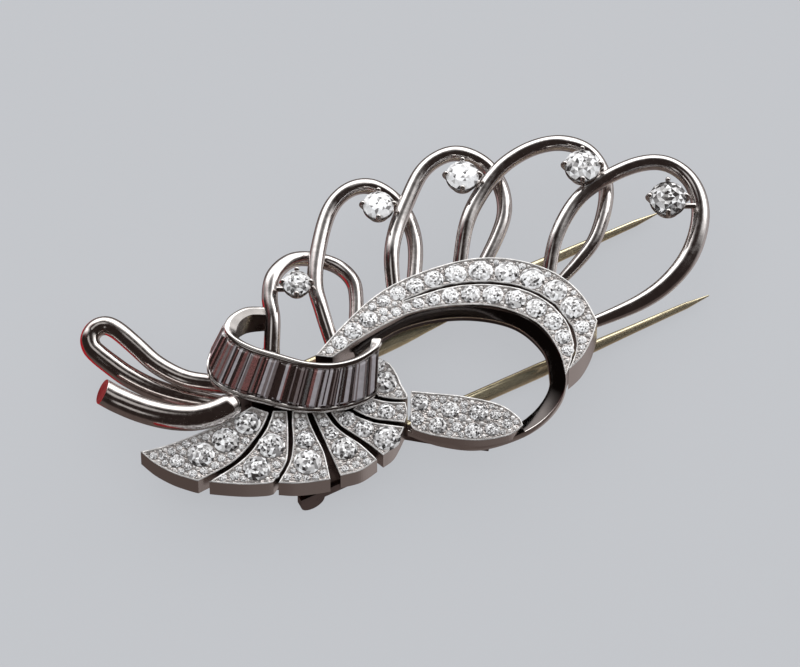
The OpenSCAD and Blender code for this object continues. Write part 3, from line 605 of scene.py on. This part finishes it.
def rim_strip(loop, width, height):
    """A raised strip that follows a plate's outline, just inside it."""
    n = len(loop)
    area = sum(loop[i].x * loop[(i + 1) % n].y - loop[(i + 1) % n].x * loop[i].y
               for i in range(n))
    sign = 1 if area > 0 else -1
    section = ((0, -0.05), (0.02, height * 0.7), (0.07, height), (width * 0.7, height),
               (width, -0.05))
    rings = []
    for i in range(n):
        a = (loop[i] - loop[i - 1]).xy.normalized()
        b = (loop[(i + 1) % n] - loop[i]).xy.normalized()
        t = a + b
        if t.length < 0.2:            # a point so sharp that the outline turns back
            t = a
        t.normalize()
        inward = Vector((-t.y, t.x, 0)) * sign
        rings.append([loop[i] + inward * x + UP * z for x, z in section])
    return skin(rings, closed=True)


def plain_edge(loop, stones, slack=0.12):
    """The plate's own outline: where a seat breaks the edge, the line runs straight across."""
    return [p for p in loop
            if all(math.hypot(p.x - c.x, p.y - c.y) > r + slack for c, r in stones)]


def size_of(loop):
    """Width plus height of an outline."""
    xs, ys = [p.x for p in loop], [p.y for p in loop]
    return max(xs) - min(xs) + max(ys) - min(ys)


def edge_gap(x, y, loop):
    """Distance to the nearest edge of a face, and whether the point lies on the face."""
    best, inside = 1e9, False
    for i in range(len(loop)):
        ax, ay, bx, by = loop[i - 1][0], loop[i - 1][1], loop[i][0], loop[i][1]
        dx, dy = bx - ax, by - ay
        t = min(max(((x - ax) * dx + (y - ay) * dy) / max(dx * dx + dy * dy, 1e-12), 0), 1)
        best = min(best, (ax + t * dx - x) ** 2 + (ay + t * dy - y) ** 2)
        if (ay > y) != (by > y) and x < ax + (y - ay) * dx / dy:
            inside = not inside
    return math.sqrt(best), inside


def grains_between(outline, stones, step=0.16, biggest=0.42, smallest=0.13, rim=0.2, gap=0.03):
    """Largest grains that fit between the stones, found one after another."""
    xs, ys = [p.x for p in outline], [p.y for p in outline]
    spots = []
    for i in range(int((max(xs) - min(xs)) / step) + 1):
        for j in range(int((max(ys) - min(ys)) / step) + 1):
            x, y = min(xs) + i * step, min(ys) + j * step
            room, inside = edge_gap(x, y, outline)
            if inside:
                near = min(math.hypot(x - c.x, y - c.y) - r for c, r in stones)
                room = min(room - rim, near - gap)
                if room > smallest:
                    spots.append([room, x, y])
    out = []
    while spots:
        room, x, y = max(spots)
        r = min(room, biggest)
        out.append((x, y, r))
        left = []
        for q in spots:
            q[0] = min(q[0], math.hypot(q[1] - x, q[2] - y) - r - gap)
            if q[0] > smallest:
                left.append(q)
        spots = left
    return out


RIM_WIDTH, RIM_HEIGHT = 0.17, 0.11
SMALL_STONE = 0.27                    # a grain bigger than this is a small stone
# the ribbons' stones stand on both sides of the slot between them
ACROSS = {"outer_ribbon_stones": "inner_ribbon_stones",
          "inner_ribbon_stones": "outer_ribbon_stones"}
for node, plate in PLATE_OF.items():
    outer = max(top_loops(nodes[plate]), key=size_of)
    neighbours = all_stones[node] + all_stones.get(ACROSS.get(node), [])
    v, f = rim_strip(plain_edge(outer, neighbours), RIM_WIDTH, RIM_HEIGHT)
    add(new_mesh("rim_" + plate, v, f, rim_painted_highlight, smooth=35), "pave_plate")
    face = outer[0].z
    small, beads = [], []
    for n, (x, y, r) in enumerate(grains_between(outer, neighbours)):
        if r > SMALL_STONE:
            small.append(brilliant((x, y, face + 0.02), r, spin=SPIN * n))
        else:
            beads.append(bead((x, y, face), r, squash=0.7))
    if small:
        kinds = facet_kinds(len(small), MIX_OF.get(plate, PAVE_MIX))
        add(new_mesh("melee_" + plate, *gather(small), PAINTED_SPARKLE_GEMS, kinds=kinds), "pave_stone")
    if beads:
        add(new_mesh("grains_" + plate, *gather(beads), rim_painted_highlight, smooth=80), "pave_plate")


# ---------------------------------------------------------------- ring band
RING_OUT = [(-4.4, -6.9, 7.2), (0.2, -3.9, 7.8), (6.2, -2.6, 7.9), (12.2, -3.7, 7.9),
            (15.4, -6.6, 7.8), (16.6, -9.9, 7.6), (16.4, -12.2, 7.0), (14.8, -14.3, 6.2),
            (12.2, -15.9, 5.6), (8.2, -16.9, 5.0), (4.3, -16.5, 5.0), (1.0, -15.2, 5.0)]
RING_IN = [(-4.1, -7.4, 6.2), (0.6, -4.4, 6.6), (6.2, -3.2, 6.6), (11.3, -4.2, 6.75),
           (14.3, -6.9, 6.6), (15.0, -9.6, 6.2), (14.8, -11.3, 5.8), (13.4, -13.2, 5.2),
           (11.2, -14.6, 4.6), (8.1, -15.4, 4.2), (4.8, -15.2, 4.2), (1.8, -14.0, 4.2)]
DOWN = -UP
# the ring's section: a bevelled face, an inner wall 0.7 mm deep and an outer one 1 mm deep
rings = []
for p, q in zip(spline(RING_OUT, 12), spline(RING_IN, 12)):
    across = q - p
    inward = across.normalized()
    rings.append([p + DOWN * 0.12, p + inward * 0.06 + DOWN * 0.02, p + inward * 0.14,
                  p + across * 0.5 + DOWN * 0.05, q - inward * 0.14,
                  q - inward * 0.04 + DOWN * 0.03, q + DOWN * 0.14, q + DOWN * 0.7, p + DOWN])
v, f = skin(rings)
# round the section: outer bevel, two strips of face, inner bevel, inner wall, underside, outer
# wall; the outer bevel, inner bevel and outer wall take the bright tie metal as painted highlight,
# the face, inner wall and underside are near black, painted dark reflection and shade
RING_KINDS = (2, 2, 0, 0, 0, 2, 1, 1, 2)
kinds = side_kinds(f, lambda i: RING_KINDS[i % len(RING_KINDS)])
add(new_mesh("ring_polished", v, f, [ring_painted_dark, ring_wall_painted_dark, tie_metal], smooth=50, kinds=kinds),
    "polished_band", "ring_band")

# gold strip under the ring's upper left, running from the knot
GOLD_STRIP = [(-2.6, -5.7, 4.3, 1.0), (0.4, -4.3, 4.35, 0.8), (2.8, -3.2, 4.45, 0.5),
              (5.0, -2.3, 4.6, 0.2)]
GOLD_STRIP_R = 0.9
add(new_mesh("gold_strip", *tube(GOLD_STRIP, GOLD_STRIP_R, sides=24), gold, smooth=40),
    "prong_gold")

# ---------------------------------------------------------------- tie
TIE_TOP = [(-13.2, -2.6, 7.2), (-14.9, -3.0, 7.8), (-16.2, -4.2, 8.4), (-16.6, -5.6, 8.8),
           (-16.0, -6.8, 9.0), (-14.2, -7.9, 9.0), (-11.6, -8.8, 9.0), (-9.0, -9.6, 9.0),
           (-6.4, -9.8, 9.0), (-4.1, -9.2, 9.0), (-2.4, -8.0, 9.0), (-1.8, -7.0, 9.0)]
TIE_BOTTOM = [(-13.4, -3.2, 5.0), (-15.7, -3.9, 5.4), (-17.7, -6.2, 6.0), (-18.6, -8.8, 6.6),
              (-18.2, -10.9, 6.5), (-16.2, -12.1, 6.4), (-13.2, -13.0, 6.4), (-10.3, -13.8, 6.4),
              (-7.5, -14.0, 6.4), (-4.7, -13.5, 6.4), (-2.7, -12.5, 6.4), (-2.0, -11.2, 6.5)]
TIE_WALL, CHANNEL = 0.8, 0.45         # the band behind the stones, and the rails beside them
# the band's section: place across it from top edge to bottom edge, and height over the channel
TIE_SECTION = [(0.0, CHANNEL - 0.42), (0.008, CHANNEL - 0.22), (0.03, CHANNEL - 0.06),
               (0.065, CHANNEL), (0.10, CHANNEL - 0.04), (0.125, CHANNEL - 0.14), (0.13, 0.0),
               (0.89, 0.0), (0.895, CHANNEL - 0.14), (0.92, CHANNEL - 0.03), (0.95, CHANNEL),
               (0.98, CHANNEL - 0.08), (1.0, CHANNEL - 0.3), (1.0, -TIE_WALL), (0.0, -TIE_WALL)]
INNER_SIDE, TOP_EDGE = 13, 14         # sides of the section that the darker metal, a painted shade, covers
CURL = 42                             # the top edge only over this many rings, in the curl
ta, tb = spline(TIE_TOP, 10), spline(TIE_BOTTOM, 10)


def tie_point(g, f, h):
    """The point g along the tie, f across it and h above its channel."""
    def one(i):
        i = min(max(i, 0), len(ta) - 1)
        n = (tb[i] - ta[i]).cross(ta[min(i + 1, len(ta) - 1)] - ta[max(i - 1, 0)]).normalized()
        return ta[i].lerp(tb[i], f) + n * h
    i = min(int(g), len(ta) - 2)
    return one(i).lerp(one(i + 1), g - i)


def tie_kind(i):
    """1, the darker metal painted as shade, or 0 for side i of the tie's skin."""
    ring, side = divmod(i, len(TIE_SECTION))
    return int(side == INNER_SIDE or (side == TOP_EDGE and ring < CURL))


v, f = skin([[tie_point(i, *place) for place in TIE_SECTION] for i in range(len(ta))])
add(new_mesh("tie_channel", v, f, [tie_metal, tie_painted_shade], smooth=40,
             kinds=side_kinds(f, tie_kind)), "tie_metal", "tie_band")

# length of the tie up to each of its points
run = [0.0]
for i in range(len(ta) - 1):
    run.append(run[-1] + (tie_point(i + 1, 0.5, CHANNEL) - tie_point(i, 0.5, CHANNEL)).length)


def station(f):
    """The point of the tie at a share of its length."""
    s = f * run[-1]
    for i in range(len(run) - 1):
        if run[i + 1] >= s:
            return i + (s - run[i]) / (run[i + 1] - run[i])
    return len(run) - 1.0


def mix_at(t):
    """Clear facets and facets painted white, grey, rose and dark as reflections: rosy and dark at
    the left, where the painted red reflection falls, paler at the right.
    """
    return (1.0, 0.9 + 2.6 * t * t, 1.8 + 0.8 * t, 3.4 * (1 - t) ** 2,
            1.5 + 2.2 * math.sin(math.pi * t))


BAGUETTES = 13
FIRST, RUN = 0.2, 0.78                # where the row starts and how long it is, of the tie's length
JOINT = 0.05                          # half the gap between two stones, in mm
EDGE, ACROSS_TIE = 0.135, 0.75        # where a stone starts across the tie, and how wide it is
SPARKLE = 0.45                        # share of facets at a stone's lower end that differ
# facets of a baguette, across its width: edge, step, bevel, then the table in strips and back down
PROFILE = [(0.0, 0.02), (0.0, 0.28), (0.10, 0.36), (0.20, 0.45), (0.30, 0.50), (0.50, 0.52),
           (0.70, 0.50), (0.80, 0.45), (0.90, 0.36), (1.0, 0.28), (1.0, 0.02)]
ENDS = [(0.0, 0.28), (0.04, 0.44), (0.07, 0.52)]


def baguette(k):
    """A step-cut stone across the channel: strips along it, with two steps at each end."""
    f0, f1 = FIRST + RUN * k / BAGUETTES, FIRST + RUN * (k + 1) / BAGUETTES
    inset = JOINT / run[-1]
    g0, g1 = station(f0 + inset), station(f1 - inset)
    rows = []
    for e, cap in ENDS + [(1 - e, cap) for e, cap in reversed(ENDS)]:
        y = EDGE + ACROSS_TIE * e
        rows.append([tie_point(g0 + (g1 - g0) * w, y, min(h, cap)) for w, h in PROFILE])
    v, f = skin(rows)

    def facet():
        return dice.choices(range(len(BAGUETTE_PAINTED_FACETS)), mix_at(k / (BAGUETTES - 1)))[0]

    # each strip along the stone takes one painted reflection: clear, white, grey, rose or dark
    strips = [facet() for _ in PROFILE]
    kinds = []
    for i in range(len(rows) - 1):
        for j in range(len(PROFILE)):
            sparkle = i >= len(ENDS) and dice.random() < SPARKLE
            kinds.append(facet() if sparkle else strips[j])
    return v, f, kinds + [0, 0]


cuts = [baguette(k) for k in range(BAGUETTES)]
v, f = gather([(v, f) for v, f, _ in cuts])
kinds = [q for cut in cuts for q in cut[2]]
add(new_mesh("baguette_cuts", v, f, BAGUETTE_PAINTED_FACETS, kinds=kinds), "baguette", "tie_baguettes")


# ---------------------------------------------------------------- floor, light, camera
def plain(name, color, rough=0.9, emit=0.0):
    """Matt paper or cloth that also glows, so that it looks evenly lit."""
    m, nt, b = principled(name)
    b.inputs["Base Color"].default_value = (*color, 1)
    b.inputs["Roughness"].default_value = rough
    b.inputs["Specular IOR Level"].default_value = 0.2
    b.inputs["Emission Color"].default_value = (*color, 1)
    b.inputs["Emission Strength"].default_value = emit
    return m


def sheet(name, centre, normal, w, h, mat, camera=True):
    """A flat sheet of the studio, in metres."""
    me = bpy.data.meshes.new(name)
    me.from_pydata([(-w / 2, -h / 2, 0), (w / 2, -h / 2, 0), (w / 2, h / 2, 0),
                    (-w / 2, h / 2, 0)], [], [(0, 1, 2, 3)])
    me.materials.append(mat)
    ob = bpy.data.objects.new(name, me)
    bpy.context.scene.collection.objects.link(ob)
    ob.rotation_mode = "QUATERNION"
    ob.rotation_quaternion = Vector(normal).to_track_quat("Z", "Y")
    ob.location = centre
    ob.visible_camera = camera
    return ob


lo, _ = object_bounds()
UNDER = 0.00002                       # the floor lies this far under the brooch
floor = sheet("floor", (0, 0, lo.z - UNDER), (0, 0, 1), 4, 4,
              plain("floor_paper", (0.06, 0.0615, 0.0645), emit=7.8))
floor.visible_glossy = False

# a soft ceiling that lights only what scatters light, so that polish still shows the dark room
ceiling = sheet("ceiling", (0, 0, 0.5), (0, 0, -1), 1.2, 1.2,
                plain("ceiling_cloth", (0.99, 1.0, 1.0), emit=1.15), camera=False)
ceiling.visible_glossy = False
ceiling.visible_transmission = False

# a red card beside the tails, seen only in their polish
red_card = sheet("red_card", Vector((-43, 3, -6)) * MM, (0.4, -0.1, 0.9), 26 * MM, 24 * MM,
                 plain("red_cloth", (0.12, 0.004, 0.006), emit=3.2), camera=False)
red_card.visible_diffuse = False
red_card.visible_shadow = False

# the studio: a dark room with soft boxes, each (direction, half angle, edge, colour, strength)
ROOM = (0.026, 0.019, 0.017)
BELOW = (0.085, 0.066, 0.060)
SOFT_BOXES = {"overhead": ((-0.25, 0.10, 0.96), 8, 6, (1.0, 0.98, 0.96), 0.6),
              "front_left": ((-0.50, -0.62, 0.60), 7, 4, (1.0, 0.98, 0.96), 0.6),
              "maroon": ((-0.66, 0.45, 0.60), 9, 8, (1.0, 0.2, 0.25), 0.09),
              "table_left": ((-0.80, 0.50, -0.32), 9, 6, (1.0, 0.62, 0.66), 0.3),
              "table_right": ((0.86, 0.42, -0.30), 22, 12, (0.97, 0.96, 0.97), 0.30),
              "table_near": ((0.50, 0.10, -0.86), 20, 12, (1.0, 0.94, 0.93), 0.26),
              "table_front": ((0.16, -0.46, -0.87), 10, 10, (1.0, 0.94, 0.92), 0.06)}
# low light bands behind the object: lower fade, upper fade, sideways fade, strength
BACK = (0.22, 0.975, 0.0)
BANDS = [((-0.20, 0.02), (0.93, 0.70), (0.22, 0.48), 0.62),
         ((0.10, 0.28), (0.82, 0.62), (0.36, 0.60), 1.8)]
BAND_COLOUR = (1.0, 0.99, 0.98)
world = bpy.data.worlds.new("studio")
world.use_nodes = True
wt = world.node_tree
ray = make(wt, "TexCoord", {}).outputs["Generated"]


def toward(direction):
    """How far a ray points in a direction, from -1 to 1."""
    return make(wt, "VectorMath", {0: ray, 1: direction}, operation="DOT_PRODUCT").outputs["Value"]


def fade(value, low, high):
    """0 at low, 1 at high and smooth between; low may be the larger."""
    return remap(wt, value, low, high, interpolation_type="SMOOTHSTEP")


def plus(light, more):
    """Two nodes' colours added."""
    return make(wt, "VectorMath", {0: light, 1: more}, operation="ADD").outputs["Vector"]


light = plus(scaled(wt, BELOW, fade(toward(-UP), 0.0, 0.35)), ROOM)
height, behind = toward(UP), toward(BACK)
for low, high, side, strength in BANDS:
    mask = product(wt, product(wt, fade(height, *low), fade(height, *high)), fade(behind, *side))
    light = plus(light, scaled(wt, [c * strength for c in BAND_COLOUR], mask))
for direction, half, edge, colour, strength in SOFT_BOXES.values():
    mask = fade(toward(Vector(direction).normalized()), math.cos(math.radians(half + edge)),
                math.cos(math.radians(half - edge)))
    light = plus(light, scaled(wt, [c * strength for c in colour], mask))
wt.links.new(light, wt.nodes["Background"].inputs["Color"])
bpy.context.scene.world = world
bpy.context.scene.view_settings.view_transform = "Standard"

ELEVATION = math.radians(60)          # the camera above the table
DISTANCE, SPAN, SENSOR = 0.9, 80.0 * MM, 36
TARGET = Vector((0.35, 0.8, 0.0)) * MM
back = Vector((0, -math.cos(ELEVATION), math.sin(ELEVATION)))
cam_data = bpy.data.cameras.new("camera")
cam = bpy.data.objects.new("camera", cam_data)
bpy.context.scene.collection.objects.link(cam)
bpy.context.scene.camera = cam
cam_data.sensor_width = SENSOR
cam_data.lens = SENSOR * DISTANCE / SPAN
cam_data.clip_start, cam_data.clip_end = 0.01, 10
cam.location = TARGET + back * DISTANCE
cam.rotation_mode = "QUATERNION"
cam.rotation_quaternion = (-back).to_track_quat("-Z", "Y")
